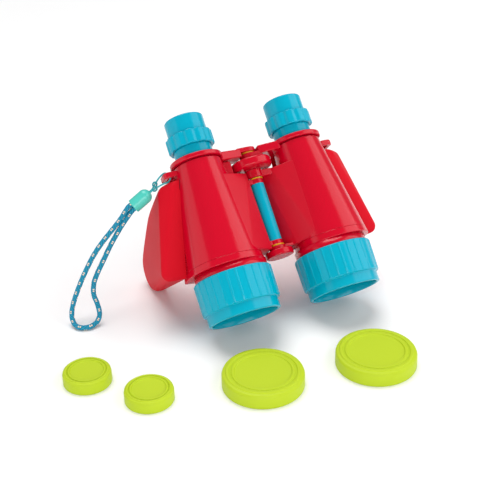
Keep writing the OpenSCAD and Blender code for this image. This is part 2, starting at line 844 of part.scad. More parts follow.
module lanyard_crimp() {
  color(mint) on_table(0, 0) translate(crimp_base)
    rotate([0, acos(-crimp_way[2]), atan2(-crimp_way[1], -crimp_way[0])])
      intersection() {
        union() {
          cylinder(h = crimp_len - crimp_r, r = crimp_r);
          translate([0, 0, crimp_len - crimp_r + string_d / 2]) sphere(r = crimp_r);
        }
        cylinder(h = crimp_len, r = crimp_r);
      }
}

module lanyard_cord() {
  first = crimp_base - strand_off * crimp_side;
  last = crimp_base + strand_off * crimp_side;
  lead = cord_d * crimp_way;
  color(blue) on_table(0, 0)
    tube(concat([first, first + lead], cord_route, [last + lead, last]), cord_d, [0, 1, 0]);
}

module lanyard_string() {
  first = crimp_tip - string_off * [0, 1, 0];
  last = crimp_tip + string_off * [0, 1, 0];
  lead = 2 * string_d * crimp_way;
  color(blue) on_table(0, 0)
    tube(curve(concat([first, first - lead], string_route, [last - lead, last]), string_steps), string_d,
      [1, 0.2, -1]);
}

left_knuckles = [[left_low_z, left_low_len, left_knuckle_r], [left_high_z, left_high_len, left_knuckle_r]];
right_knuckles = [
  [right_low_z, right_low_len, right_knuckle_r], [right_high_z, right_high_len, right_knuckle_r]
];
high_knuckle_z = arm_split_z + washer_t / 2;
high_knuckle_len = plate_top_z - high_knuckle_z;
low_knuckle_len = arm_split_z - washer_t / 2 - play - low_knuckle_z;

top_shell(left, left_knuckles);  // left_top_shell
belly_cover(left);  // left_belly_cover
front_collar(left);  // left_front_collar
grip(left);  // left_grip
objective_ring(left);  // left_objective_ring
objective_lens(left);  // left_objective_lens
lens_retainer(left);  // left_lens_retainer
bridge_arm(left, high_knuckle_z, high_knuckle_len);  // left_bridge_arm
eyepiece_tube(left);  // left_eyepiece_tube
dioptre_ring(left);  // left_dioptre_ring
eyecup(left);  // left_eyecup
eyepiece_lens(left);  // left_eyepiece_lens
top_shell(right, right_knuckles);  // right_top_shell
belly_cover(right);  // right_belly_cover
front_collar(right);  // right_front_collar
grip(right);  // right_grip
objective_ring(right);  // right_objective_ring
objective_lens(right);  // right_objective_lens
lens_retainer(right);  // right_lens_retainer
bridge_arm(right, low_knuckle_z, low_knuckle_len);  // right_bridge_arm
eyepiece_tube(right);  // right_eyepiece_tube
dioptre_ring(right);  // right_dioptre_ring
eyecup(right);  // right_eyecup
eyepiece_lens(right);  // right_eyepiece_lens
hinge_tube();
focus_spindle();
focus_wheel();
shaft_sleeve();
washer_top();
washer_middle();
washer_bottom();
hinge_cap();
large_cap_a();
large_cap_b();
small_cap_a();
small_cap_b();
lanyard_string();
lanyard_crimp();
lanyard_cord();
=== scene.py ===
import bmesh
import bpy
import numpy as np
from mathutils import Matrix, Vector


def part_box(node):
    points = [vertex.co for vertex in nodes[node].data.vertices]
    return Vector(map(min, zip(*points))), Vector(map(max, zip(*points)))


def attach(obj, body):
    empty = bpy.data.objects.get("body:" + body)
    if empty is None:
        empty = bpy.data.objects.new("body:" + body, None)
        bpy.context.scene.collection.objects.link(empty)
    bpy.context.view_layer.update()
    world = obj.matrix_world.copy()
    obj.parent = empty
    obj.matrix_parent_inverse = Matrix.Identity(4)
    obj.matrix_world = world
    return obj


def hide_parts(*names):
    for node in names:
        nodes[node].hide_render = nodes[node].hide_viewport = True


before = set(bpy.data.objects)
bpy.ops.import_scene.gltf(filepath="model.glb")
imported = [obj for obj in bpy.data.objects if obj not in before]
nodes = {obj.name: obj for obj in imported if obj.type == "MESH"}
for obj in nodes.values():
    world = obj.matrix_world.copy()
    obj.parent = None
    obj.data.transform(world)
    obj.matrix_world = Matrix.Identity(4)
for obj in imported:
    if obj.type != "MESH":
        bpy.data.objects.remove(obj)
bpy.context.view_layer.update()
scene = bpy.context.scene
scene.view_settings.view_transform = "Standard"

# The upright pair, in millimetres: x across, y to the belly, z from the front rims to the eyepieces
pair = dict(lean=43.4, axisX=30.2, lipR=20.0, cupR=11.1, cupTopZ=115.9, play=0.25)
perMetre = 1000  # millimetres
fullTurn = 2 * np.pi
leanSin = np.sin(np.radians(pair["lean"]))
leanCos = np.cos(np.radians(pair["lean"]))
standLift = pair["lipR"] * leanSin

# The row's origin, read off nodes whose place on the pair is known
ringBoxes = [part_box("left_objective_ring"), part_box("right_objective_ring")]
originX = -perMetre * (ringBoxes[0][0].x + ringBoxes[1][1].x) / 2
originY = pair["cupTopZ"] * leanSin + pair["cupR"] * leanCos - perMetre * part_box("left_eyecup")[1].y
print("frame loaded, origin", round(originX, 3), round(originY, 3))


def fromPair(p):
    # leans points of the upright pair back on its grips and puts them in the row's frame, in metres
    p = np.asarray(p, float)
    x, y, z = p[..., 0], p[..., 1], p[..., 2]
    leant = [x - originX, z * leanSin + y * leanCos - originY, standLift + z * leanCos - y * leanSin]
    return np.stack(leant, -1) / perMetre


def toPair(p):
    # the way back: from the row's frame to the upright pair, in millimetres
    x, y, z = (perMetre * p[..., i] for i in range(3))
    y, z = y + originY, z - standLift
    return np.stack([x + originX, y * leanCos - z * leanSin, y * leanSin + z * leanCos], -1)


def span(node):
    # both ends of a CAD node along the barrels, and its largest radius about the hinge
    mesh = nodes[node].data
    p = np.empty(3 * len(mesh.vertices))
    mesh.vertices.foreach_get("co", p)
    p = toPair(p.reshape(-1, 3))
    return p[:, 2].min(), p[:, 2].max(), np.hypot(p[:, 0], p[:, 1]).max()


def fromTable(p):
    # shifts points on the table, measured from under the hinge, to the row's frame, in metres
    return (np.asarray(p, float) - np.array([originX, originY, 0.0])) / perMetre


# Camera: place and directions in table millimetres, lens from a focal length in pixels of the frame
viewer = dict(place=(-213.0, -426.2, 314.8), ahead=(0.3431, 0.8074, -0.4800),
              across=(0.9142, -0.4044, -0.0269), focalPx=1036.2, framePx=480, sensor=36, near=0.01, far=20)


def addCamera():
    data = bpy.data.cameras.new("camera")
    data.sensor_width = viewer["sensor"]
    data.lens = viewer["sensor"] * viewer["focalPx"] / viewer["framePx"]
    data.clip_start, data.clip_end = viewer["near"], viewer["far"]
    camera = bpy.data.objects.new("camera", data)
    ahead = Vector(viewer["ahead"]).normalized()
    across = Vector(viewer["across"])
    across = (across - ahead * across.dot(ahead)).normalized()
    upward = across.cross(ahead)
    turn = Matrix((across, upward, -ahead)).transposed().to_4x4()
    camera.matrix_world = Matrix.Translation(Vector(fromTable(viewer["place"]))) @ turn
    scene.collection.objects.link(camera)
    scene.camera = camera


addCamera()
print("camera set")

# Meshes: rules that all pieces share, in metres for the welds and in millimetres for the holds
joins = dict(weld=1e-7, collapse=1e-8)
bends = dict(steps=6, hold=0.12, straight=3.1, legShare=0.46, holdShare=0.2)
rounding = dict(steps=6, flatShare=0.5, slabHold=0.1)
columns = dict(fine=128, plain=96)
sides = (("left", -1), ("right", 1))
made = {}


def putMesh(name, points, faces, uv=None):
    mesh = bpy.data.meshes.new(name)
    mesh.from_pydata(points.reshape(-1, 3).tolist(), [], faces)
    if uv is not None:
        layer = mesh.uv_layers.new(name="along")
        loops = np.zeros(len(mesh.loops), np.int32)
        mesh.loops.foreach_get("vertex_index", loops)
        layer.data.foreach_set("uv", uv.reshape(-1, 2)[loops].ravel())
    mesh.validate()
    mesh.update()
    mesh.shade_smooth()
    obj = bpy.data.objects.new(name, mesh)
    scene.collection.objects.link(obj)
    return obj


def gridFaces(rows, cols, wrap, flip):
    # quads of a grid, whose columns may close on themselves
    r = np.arange(rows - 1)[:, None]
    k = np.arange(cols if wrap else cols - 1)[None, :]
    r2, k2 = r + 1, (k + 1) % cols
    quad = [r * cols + k, r * cols + k2, r2 * cols + k2, r2 * cols + k]
    quad = np.stack([np.broadcast_to(q, (r.shape[0], k.shape[1])) for q in quad], -1).reshape(-1, 4)
    return (quad[:, ::-1] if flip else quad).tolist()


def weld(obj):
    # closes poles and seams, then turns every face outwards
    work = bmesh.new()
    work.from_mesh(obj.data)
    bmesh.ops.remove_doubles(work, verts=work.verts, dist=joins["weld"])
    bmesh.ops.dissolve_degenerate(work, edges=work.edges, dist=joins["collapse"])
    bmesh.ops.recalc_face_normals(work, faces=work.faces)
    work.to_mesh(obj.data)
    work.free()
    obj.data.shade_smooth()


def putGrid(name, grid):
    obj = putMesh(name, grid, gridFaces(*grid.shape[:2], True, False))
    weld(obj)
    return obj


def keep(obj, body, slot, finish, *replaced):
    made[obj.name] = (obj, finish)
    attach(obj, body)
    if replaced:
        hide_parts(*replaced)


def addRed(name, points, body, *replaced, finish="redGloss"):
    keep(putGrid(name, fromPair(points)), body, "gloss_red", finish, *replaced)


def addBlue(name, points, body, *replaced):
    keep(putGrid(name, fromPair(points)), body, "gloss_blue", "blueGloss", *replaced)


def roundPath(points, radii, steps=bends["steps"], hold=bends["hold"]):
    # an open path with its corners rounded by arcs; short straight holds beside each arc keep the flats flat
    points = np.asarray(points, float)
    out = [points[0]]
    for i in range(1, len(points) - 1):
        a, b, c = points[i - 1], points[i], points[i + 1]
        toA, toC = a - b, c - b
        lenA, lenC = np.linalg.norm(toA), np.linalg.norm(toC)
        toA, toC = toA / lenA, toC / lenC
        angle = np.arccos(np.clip(toA @ toC, -1, 1))
        if radii[i] <= 0 or angle > bends["straight"]:
            out.append(b)
            continue
        cut = min(radii[i] / np.tan(angle / 2), bends["legShare"] * lenA, bends["legShare"] * lenC)
        r = cut * np.tan(angle / 2)
        mid = toA + toC
        centre = b + mid / np.linalg.norm(mid) * r / np.sin(angle / 2)
        start, stop = b + toA * cut - centre, b + toC * cut - centre
        swing = np.arctan2(start[0] * stop[1] - start[1] * stop[0], start @ stop)
        t = np.linspace(0, swing, steps + 1)
        arc = centre + np.stack([start[0] * np.cos(t) - start[1] * np.sin(t),
                                 start[0] * np.sin(t) + start[1] * np.cos(t)], 1)
        out.append(b + toA * (cut + min(hold, bends["holdShare"] * (lenA - cut))))
        out.extend(arc)
        out.append(b + toC * (cut + min(hold, bends["holdShare"] * (lenC - cut))))
    out.append(points[-1])
    return np.array(out)


def turned(path, count, swell=None):
    # a path of radius and height carried round the z axis; swell adds to the radius by angle and height
    angle = np.linspace(0, fullTurn, count, endpoint=False)
    r = np.repeat(path[:, :1], count, 1)
    z = np.repeat(path[:, 1:], count, 1)
    if swell is not None:
        r = r + swell(np.broadcast_to(angle, r.shape), z, r)
    return np.stack([r * np.cos(angle), r * np.sin(angle), z], -1)


def closedTurn(path, count, swell=None):
    return turned(np.vstack([path, path[:1]]), count, swell)


def mirrored(grid, side):
    return grid * np.array([side, 1, 1])


def onAxis(grid, side):
    # moves a turned grid to a barrel's axis; the left one is the mirror of the right one
    return mirrored(grid + np.array([pair["axisX"], 0, 0]), side)


def unit(v):
    return v / np.linalg.norm(v)


# Lanyard: routes in table millimetres, as in the part's source
lanyard = dict(tip=(-59.0, 59.0, 69.0), baseWay=(-0.82, 0.05, -0.57), cordD=2.8, cordSteps=10, cordSides=40,
               strandShare=0.58, stringD=0.9, stringSteps=8, stringSides=12, stringShare=0.65)
crimp = dict(length=12.0, r=4.0, rim=0.7, rimEdge=0.5, rimRise=1.5, neck=0.3, tipShare=0.96, tipSwing=80,
             tipSteps=12, columns=64)
braid = dict(pitch=4.2, ridges=5, height=0.05, sink=0.04)
knot = dict(r=1.3, rows=17, columns=32, alongShares={"stringKnotA": 0.16, "stringKnotB": 0.8})
stringRoute = [(-55, 58.5, 71), (-51.5, 58, 72.5), (-48.5, 57.5, 73.5), (-46.5, 60, 75), (-48.5, 62.5, 76.5),
               (-52, 62, 75), (-55.5, 60.5, 72)]
cordRoute = [(-77, 60, 55.5), (-82.5, 60.5, 49.5), (-88, 61, 43.5), (-93, 61, 37.5), (-97.5, 60.5, 31),
             (-101.5, 60, 24.5), (-105, 59.5, 18), (-108, 59, 11.5), (-110, 57.5, 6), (-110.5, 54, 2.8),
             (-109.5, 50, 1.7), (-106.5, 47.5, 1.5), (-102.5, 47, 1.6), (-98.5, 48.5, 2.6), (-96, 51, 5.5),
             (-96, 53.5, 10.5), (-97, 55.5, 16), (-96, 57, 21.5), (-94, 57.5, 26), (-91.5, 57.5, 30.5),
             (-88, 58, 36), (-84.5, 58.5, 41.5), (-80.5, 59, 47), (-76.5, 59, 52.5)]
crimpWay = unit(np.array(lanyard["baseWay"]))
crimpSide = unit(np.cross(crimpWay, (0, 1, 0)))
crimpTip = np.array(lanyard["tip"])
crimpBase = crimpTip + crimp["length"] * crimpWay


def smoothRoute(points, steps):
    # Catmull-Rom curve through the points, with the ends repeated
    p = np.asarray(points, float)
    p = np.vstack([p[:1], p, p[-1:]])
    a, b, c, d = (q[:, None] for q in (p[:-3], p[1:-2], p[2:-1], p[3:]))
    t = (np.arange(steps) / steps)[None, :, None]
    q = 2 * b + (c - a) * t + (2 * a - 5 * b + 4 * c - d) * t ** 2 + (3 * b - a - 3 * c + d) * t ** 3
    return np.vstack([(q / 2).reshape(-1, 3), p[-1:]])


def sweep(name, path, radius, sidesRound, swell=None):
    # a round section carried along the path on frames that turn as little as they can
    # u runs along the path, counted in diameters
    tangent = np.gradient(path, axis=0)
    tangent /= np.linalg.norm(tangent, axis=1)[:, None]
    across = np.zeros_like(path)
    across[0] = unit(np.cross(tangent[0], (0, 1, 0)))
    for i in range(1, len(path)):
        across[i] = unit(across[i - 1] - tangent[i] * (across[i - 1] @ tangent[i]))
    upward = np.cross(tangent, across)
    run = np.concatenate([[0], np.cumsum(np.linalg.norm(np.diff(path, axis=0), axis=1))])
    angle = np.linspace(0, fullTurn, sidesRound + 1)
    r = np.full((len(path), sidesRound + 1), radius)
    if swell is not None:
        r = r + swell(run[:, None], angle[None, :])
    way = np.cos(angle)[None, :, None] * across[:, None] + np.sin(angle)[None, :, None] * upward[:, None]
    grid = path[:, None] + r[..., None] * way
    uv = np.stack(np.broadcast_arrays(run[:, None] / (2 * radius), angle[None, :] / fullTurn), -1)
    rows, cols = grid.shape[:2]
    faces = gridFaces(rows, cols, False, True)
    faces.append(list(range(cols - 1)))
    faces.append([(rows - 1) * cols + k for k in range(cols - 2, -1, -1)])
    return putMesh(name, fromTable(grid), faces, uv), run[-1]


def braidSwell(run, angle):
    # low ridges that cross on two spirals
    twist = fullTurn * run / braid["pitch"]
    ridges = np.maximum(np.sin(braid["ridges"] * angle + twist), np.sin(braid["ridges"] * angle - twist))
    return braid["height"] * ridges - braid["sink"]


def addCrimp():
    # flat base, straight barrel and round tip; heights run from base to tip
    r, length, rim = crimp["r"], crimp["length"], crimp["r"] - crimp["rim"]
    swing = np.linspace(0, np.radians(crimp["tipSwing"]), crimp["tipSteps"])
    tipH = crimp["tipShare"] * r
    path = np.concatenate([[(0, 0), (rim, 0)],
                           roundPath([(rim, 0), (r, 0), (r, crimp["rimRise"])], [0, crimp["rimEdge"], 0])[1:],
                           [(r, length - r - crimp["neck"])],
                           np.stack([r * np.cos(swing), length - tipH + tipH * np.sin(swing)], 1),
                           [(0, length)]])
    axes = np.array([crimpSide, np.cross(-crimpWay, crimpSide), -crimpWay])
    piece = putGrid("lanyardCrimp", fromTable(crimpBase + turned(path, crimp["columns"]) @ axes))
    keep(piece, "left_half", "mint", "mintGloss", "lanyard_crimp")
    return piece


def addKnots(path, r):
    # a small ring round the string's line at each share of its length
    bend = np.linspace(0, fullTurn, knot["rows"])
    loop = turned(np.stack([knot["r"] + r * np.cos(bend), r * np.sin(bend)], 1), knot["columns"])
    for name, share in knot["alongShares"].items():
        at = int(share * len(path))
        way = unit(path[at + 1] - path[at - 1])
        flat = unit(np.cross(way, (0, 1, 0)))
        axes = np.array([way, flat, np.cross(way, flat)])
        keep(putGrid(name, fromTable(path[at] + loop @ axes)), "left_half", "string", "twistedString")


def addString(crimpPiece):
    d = lanyard["stringD"]
    gap, lead = lanyard["stringShare"] * d * np.array([0, 1, 0]), 2 * d * crimpWay
    first, last = crimpTip - gap, crimpTip + gap
    path = smoothRoute([first, first - lead] + stringRoute + [last - lead, last], lanyard["stringSteps"])
    string, length = sweep("lugString", path, d / 2, lanyard["stringSides"])
    keep(string, "left_half", "string", "twistedString", "lanyard_string")
    addKnots(path, d / 2)
    print("string laid,", round(length, 1), "mm")


def addCord():
    d = lanyard["cordD"]
    off, lead = lanyard["strandShare"] * d * crimpSide, d * crimpWay
    first, last = crimpBase - off, crimpBase + off
    path = smoothRoute([first, first + lead] + cordRoute + [last + lead, last], lanyard["cordSteps"])
    cord, length = sweep("wristCord", path, d / 2, lanyard["cordSides"], braidSwell)
    keep(cord, "left_half", "cord", "braidedCord", "lanyard_cord")
    print("cord laid,", round(length, 1), "mm")


addString(addCrimp())
addCord()

# Barrels: a tapered shell in two halves, a web towards the hinge, a band and a neck at the front
shell = dict(rearR=13.5, frontR=21.2, splay=1.8, bandZ=27.6, frontZ=31.4, rearZ=88.6, split=8.586, seam=0.1,
             skirt=13.0, skirtCorner=1.2, edge=0.5, seamEdge=0.18, seamGap=0.03, rows=24, bandRows=6,
             angles=400)
web = dict(gap={-1: 5.2, 1: 9.4}, foot=(4.9, 3.0), frontZ=31.9, rearZ=77.6, frontRise=6.0, rearRise=3.2,
           corner=0.9, end=0.8, sunk=0.1, rows=12)
neck = dict(bore=17.0, r=20.2, low=23.9, high=27.8, edge=0.3)
circleAngle = np.linspace(0, fullTurn, shell["angles"], endpoint=False)
circleWay = np.stack([np.cos(circleAngle), np.sin(circleAngle)], -1)


def taper(z):
    # 1 at the front band, 0 at the rear
    return (shell["rearZ"] - z) / (shell["rearZ"] - shell["bandZ"])


def shellR(z):
    return shell["rearR"] + (shell["frontR"] - shell["rearR"]) * taper(z)


def flank(z):
    # x of the shell's outer side
    return pair["axisX"] + shell["splay"] * taper(z) + shellR(z)


def furthest(circles):
    # the line drawn tight round circles (x, y, radius): in each direction, the point that reaches furthest
    circles = np.asarray(circles, float)
    best = np.argmax(circles[:, :2] @ circleWay.T + circles[:, 2:], 0)
    return circles[best, :2] + circles[best, 2:] * circleWay


def taperEnds():
    # outlines of the tapered shell at its front, with the squared outer corner, and at its rear
    k = shell["skirtCorner"]
    front = [(pair["axisX"] + shell["splay"], 0, shell["frontR"]),
             (flank(shell["bandZ"]) - k, shell["skirt"] - k, k)]
    return shell["bandZ"], furthest(front), shell["rearZ"], furthest([(pair["axisX"], 0, shell["rearR"])])


def webEnds(side):
    # outlines of the web, drawn tight from the barrel to its ridge and foot, at its front and at the shoulder
    e, gap, ends = web["corner"], web["gap"][side], []
    for z, rise in ((web["frontZ"], web["frontRise"]), (web["rearZ"], web["rearRise"])):
        ridge = (gap + e, e - rise, e)
        foot = (web["foot"][0] + e, web["foot"][1], e)
        under = (gap + e, shell["split"] - e, e)
        barrel = (flank(z) - shellR(z), 0, shellR(z) - web["sunk"])
        ends += [z, furthest([ridge, foot, under, barrel])]
    return ends


def between(ends, z):
    # outlines at heights z, blended evenly from the first end to the last
    low, first, high, last = ends
    share = ((z - low) / (high - low))[:, None, None]
    return first * (1 - share) + last * share


def rowsUp(low, high, edgeLow, edgeHigh, count, hold=None):
    # heights from low to high, and how far each row is drawn in by the rounded ends
    swing = np.linspace(0, np.pi / 2, rounding["steps"])
    lift, draw = 1 - np.cos(swing), 1 - np.sin(swing)
    holds = [hold or rounding["flatShare"] * edge for edge in (edgeLow, edgeHigh)]
    flats = np.linspace(low + edgeLow + holds[0], high - edgeHigh - holds[1], count)
    z = np.concatenate([low + edgeLow * lift, flats, high - edgeHigh * lift[::-1]])
    return z, np.concatenate([edgeLow * draw, np.zeros(count), edgeHigh * draw[::-1]])


def stacked(flat, z, inset):
    # outlines drawn in by inset and set at their heights
    flat = flat - inset[:, None, None] * circleWay
    return np.concatenate([flat, np.broadcast_to(z[:, None, None], flat.shape[:2] + (1,))], -1)


def closeEnds(grid):
    # a fan at each end, as one more row at the middle of the face
    first, last = grid[:1].mean(1, keepdims=True), grid[-1:].mean(1, keepdims=True)
    return np.concatenate([np.repeat(first, grid.shape[1], 1), grid, np.repeat(last, grid.shape[1], 1)])


def slabGrid(shape, low, high, edge):
    # a flat outline given by round corners (x, y, radius), pulled up from low to high with rounded rims
    z, inset = rowsUp(low, high, edge, edge, 2, rounding["slabHold"])
    return closeEnds(stacked(furthest(shape), z, inset))


def clipped(grid, limit, keepUnder):
    # flattens what lies past the plane between top shell and belly cover
    out = grid.copy()
    out[..., 1] = np.minimum(out[..., 1], limit) if keepUnder else np.maximum(out[..., 1], limit)
    return out


def addBarrel(name, side):
    body, e, fine, gap = name + "_half", shell["edge"], shell["seamEdge"], shell["seamGap"]
    split, seam = shell["split"], shell["seam"]
    z, inset = rowsUp(shell["frontZ"] + gap, shell["rearZ"], fine, e, shell["rows"])
    whole = stacked(between(taperEnds(), z), z, inset)
    top, belly = clipped(whole, split, True), clipped(whole, split + seam, False)
    addRed(name + "TopShell", mirrored(closeEnds(top), side), body, name + "_top_shell")
    addRed(name + "BellyCover", mirrored(closeEnds(belly), side), body, name + "_belly_cover")
    z, inset = rowsUp(web["frontZ"], web["rearZ"], web["end"], web["end"], web["rows"])
    grid = clipped(stacked(between(webEnds(side), z), z, inset), split - seam, True)
    addRed(name + "Web", mirrored(closeEnds(grid), side), body, finish="redFlat")
    z, inset = rowsUp(shell["bandZ"], shell["frontZ"] - gap, e, fine, shell["bandRows"])
    band = stacked(between(taperEnds(), z), z, inset)
    addRed(name + "FrontBand", mirrored(closeEnds(band), side), body, name + "_front_collar")
    path = roundPath([(neck["bore"], neck["low"]), (neck["r"], neck["low"]), (neck["r"], neck["high"]),
                      (neck["bore"], neck["high"])], [0, neck["edge"], 0, 0])
    addRed(name + "Neck", onAxis(turned(path, columns["fine"]), side), body)


for name, side in sides:
    addBarrel(name, side)
print("barrels made")

# Objective rings: a smooth lip, then a ribbed wall
ring = dict(lipLen=5.8, wallR=21.35, rearZ=24.0, neckR=18.42, mouthR=18.3, throatR=15.7, mouthDepth=9.4,
            ribs=28, ribH=0.45, ribW=0.5, ribPower=6, ribStart=0.5, ribStop=0.3, ribFade=0.7, wallStep=0.8,
            samples=30, edges=(0, 0.45, 0.6, 0.25, 0.7, 0.8, 0.2, 0))


def ribSwell(angle, z, r):
    # thin ridges along the ring, fading before both ends
    step = fullTurn / ring["ribs"]
    off = (np.mod(angle + step / 2, step) - step / 2) * ring["wallR"]
    ridge = np.exp(-(off / ring["ribW"]) ** ring["ribPower"])
    fromLip = np.clip((z - ring["lipLen"] - ring["ribStart"]) / ring["ribFade"], 0, 1)
    toRear = np.clip((ring["rearZ"] - ring["ribStop"] - z) / ring["ribFade"], 0, 1)
    return np.where(r > pair["lipR"] + ring["wallStep"], ring["ribH"] * ridge * fromLip * toRear, 0)


def addObjective(name, side):
    lip, wall, neckR = pair["lipR"], ring["wallR"], ring["neckR"]
    path = roundPath([(ring["throatR"], ring["mouthDepth"]), (ring["mouthR"], 0), (lip, 0),
                      (lip, ring["lipLen"]), (wall, ring["lipLen"]), (wall, ring["rearZ"]),
                      (neckR, ring["rearZ"]), (neckR, ring["mouthDepth"])], ring["edges"])
    grid = closedTurn(path, ring["ribs"] * ring["samples"], ribSwell)
    addBlue(name + "ObjectiveRing", onAxis(grid, side), name + "_half", name + "_objective_ring")


for name, side in sides:
    addObjective(name, side)
print("objective rings made")

# Eyepieces: a tube, a lobed dioptre ring and an eyecup
eye = dict(tubeR=10.8, tubeBore=9.4, tubeLow=78.2, tubeHigh=103.6, tubeEdge=0.3,
           dialR=13.15, dialBore=10.88, dialLid=9.6, dialLow=97.9, lidLow=104.0, dialHigh=106.0, dialEdge=0.7,
           lobes=12, lobeDepth=0.75, hollowW=0.55, hollowPower=1.3, lobeStep=1.0, samples=16,
           cupLow=105.9, cupBore=9.2, cupFoot=9.5, cupSeat=8.6, lensZ=110.7, seatDrop=2.3,
           cupEdges=(0, 0.6, 1.0, 0.2, 0, 0))


def lobeSwell(angle, z, r):
    # rounded lobes with narrow hollows between, only on the outer wall
    wave = np.cos(eye["lobes"] * angle)
    hollow = np.exp(-((1 - wave) / eye["hollowW"]) ** eye["hollowPower"])
    return np.where(r > pair["cupR"] + eye["lobeStep"], -eye["lobeDepth"] * hollow, 0)


def addEyepiece(name, side):
    e = eye["tubeEdge"]
    tube = roundPath([(eye["tubeBore"], eye["tubeLow"]), (eye["tubeR"], eye["tubeLow"]),
                      (eye["tubeR"], eye["tubeHigh"]), (eye["tubeBore"], eye["tubeHigh"])], [0, e, e, 0])
    grid = closedTurn(tube, columns["fine"])
    addBlue(name + "EyepieceTube", onAxis(grid, side), name + "_bridge", name + "_eyepiece_tube")
    e = eye["dialEdge"]
    dial = roundPath([(eye["dialBore"], eye["dialLow"]), (eye["dialR"], eye["dialLow"]),
                      (eye["dialR"], eye["dialHigh"]), (eye["dialLid"], eye["dialHigh"]),
                      (eye["dialLid"], eye["lidLow"]), (eye["dialBore"], eye["lidLow"])], [0, e, e, 0, 0, 0])
    grid = closedTurn(dial, eye["lobes"] * eye["samples"], lobeSwell)
    addBlue(name + "DioptreRing", onAxis(grid, side), name + "_ocular", name + "_dioptre_ring")
    cup = roundPath([(eye["cupBore"], eye["lensZ"]), (eye["cupBore"], pair["cupTopZ"]),
                     (pair["cupR"], pair["cupTopZ"]), (pair["cupR"], eye["cupLow"]),
                     (eye["cupFoot"], eye["cupLow"]), (eye["cupSeat"], eye["lensZ"] - eye["seatDrop"])],
                    eye["cupEdges"])
    grid = closedTurn(cup, columns["fine"])
    addBlue(name + "Eyecup", onAxis(grid, side), name + "_ocular", name + "_eyecup")


for name, side in sides:
    addEyepiece(name, side)
print("eyepieces made")

# Bridge arms: a plate round each tube, with a thicker arm to the hinge
bridge = dict(plateR=14.9, plateLow=89.2, plateHigh=91.8, armLow=86.6, armHigh=91.3, armInner=5.25,
              armCut=14.1, armRoot=7.0, edge=0.6, endShares=(0, 0.02, 0.05), firstShare=0.1, armRows=12,
              knuckleR=5.0, knuckleReach=1.0, knuckleHalf=4.0, knuckleCorner=1.0, knuckleEdge=0.35)
onHinge = ("shaft_sleeve", "hinge_cap", "washer_bottom", "washer_middle", "washer_top", "focus_wheel")
stations = {node: span(node) for node in onHinge}


def armGrid():
    # a rounded box section carried from the knuckle out to the barrel, whose round it meets
    b = bridge
    half, e, inner = (b["armHigh"] - b["armLow"]) / 2, b["edge"], b["armInner"]
    roundShare = b["endShares"][-1]
    box = furthest([(sy * (1 - e / b["armRoot"]), sz * (half - e), 0) for sy in (-1, 1) for sz in (-1, 1)])
    rows = []
    for share in np.concatenate([b["endShares"], np.linspace(b["firstShare"], 1, b["armRows"])]):
        drawn = e * (1 - np.sqrt(1 - (1 - min(share / roundShare, 1)) ** 2))  # rounded end at the knuckle
        width = b["knuckleR"] + (b["armRoot"] - b["knuckleR"]) * share
        y = box[:, 0] * width + (e - drawn) * circleWay[:, 0]
        z = (b["armLow"] + b["armHigh"]) / 2 + box[:, 1] + (e - drawn) * circleWay[:, 1]
        end = pair["axisX"] - np.sqrt(b["armCut"] ** 2 - y ** 2)
        rows.append(np.stack([inner + (end - inner) * share, y, z], -1))
    return closeEnds(np.array(rows))


def addBridge(name, side):
    body, b = name + "_bridge", bridge
    plate = slabGrid([(pair["axisX"], 0, b["plateR"])], b["plateLow"], b["plateHigh"], b["edge"])
    addRed(name + "BridgePlate", mirrored(plate, side), body, name + "_bridge_arm")
    addRed(name + "BridgeArm", mirrored(armGrid(), side), body)
    low, high = stations["focus_wheel"][1] + pair["play"], stations["washer_top"][0] - pair["play"]
    if name == "left":
        low, high = stations["washer_top"][1], b["plateHigh"]
    reach, half = b["armInner"] + b["knuckleReach"], b["knuckleHalf"]
    corners = [(0, 0, b["knuckleR"])] + [(reach, y, b["knuckleCorner"]) for y in (-half, half)]
    addRed(name + "BridgeKnuckle", mirrored(slabGrid(corners, low, high, b["knuckleEdge"]), side), body)


for name, side in sides:
    addBridge(name, side)
print("bridge made")

# Hinge, focus wheel and washers, all turned about the hinge axis
hinge = dict(tubeBore=2.67, spindleBore=1.82, sleeveEdge=0.15, capEdges=(0, 0.8, 0.5, 0), washerEdge=0.12)
knuckle = dict(r={"left": 3.9, "right": 4.8}, edge=0.3, tongue=3.2, tongueX=(3.4, 9.5), corner=0.3,
               tongueEdge=0.2)
wheel = dict(hubR=4.6, width=5.2, edges=(0, 0.1, 0.1, 1.4, 1.4, 0.3, 0.2, 0), steps=10)
shoulder = dict(inner=12.3, outer=17.8, front=-3.0, back=7.0, low=77.0, top=86.2, edge=0.6)


def collar(inner, outer, low, high, edge):
    path = roundPath([(inner, low), (outer, low), (outer, high), (inner, high)], [0, edge, edge, 0])
    return closedTurn(path, columns["plain"])


def addKnuckle(name, side, part, low, high):
    k, body = knuckle, name + "_half"
    addRed(name + "Knuckle" + part, collar(hinge["tubeBore"], k["r"][name], low, high, k["edge"]), body)
    y = k["tongue"] - k["corner"]
    corners = [(x, s * y, k["corner"]) for x in k["tongueX"] for s in (-1, 1)]
    block = slabGrid(corners, max(low, web["frontZ"]), min(high, web["rearZ"]), k["tongueEdge"])
    addRed(name + "Tongue" + part, mirrored(block, side), body)


def addKnuckles():
    play, ends = pair["play"], {node: s[:2] for node, s in stations.items()}
    addKnuckle("right", 1, "Low", ends["hinge_cap"][1] + play, ends["washer_bottom"][0] - play)
    addKnuckle("left", -1, "Low", ends["washer_bottom"][1], ends["shaft_sleeve"][0])
    addKnuckle("left", -1, "High", ends["shaft_sleeve"][1], ends["washer_middle"][0])
    addKnuckle("right", 1, "High", ends["washer_middle"][1] + play, ends["focus_wheel"][0] - play)


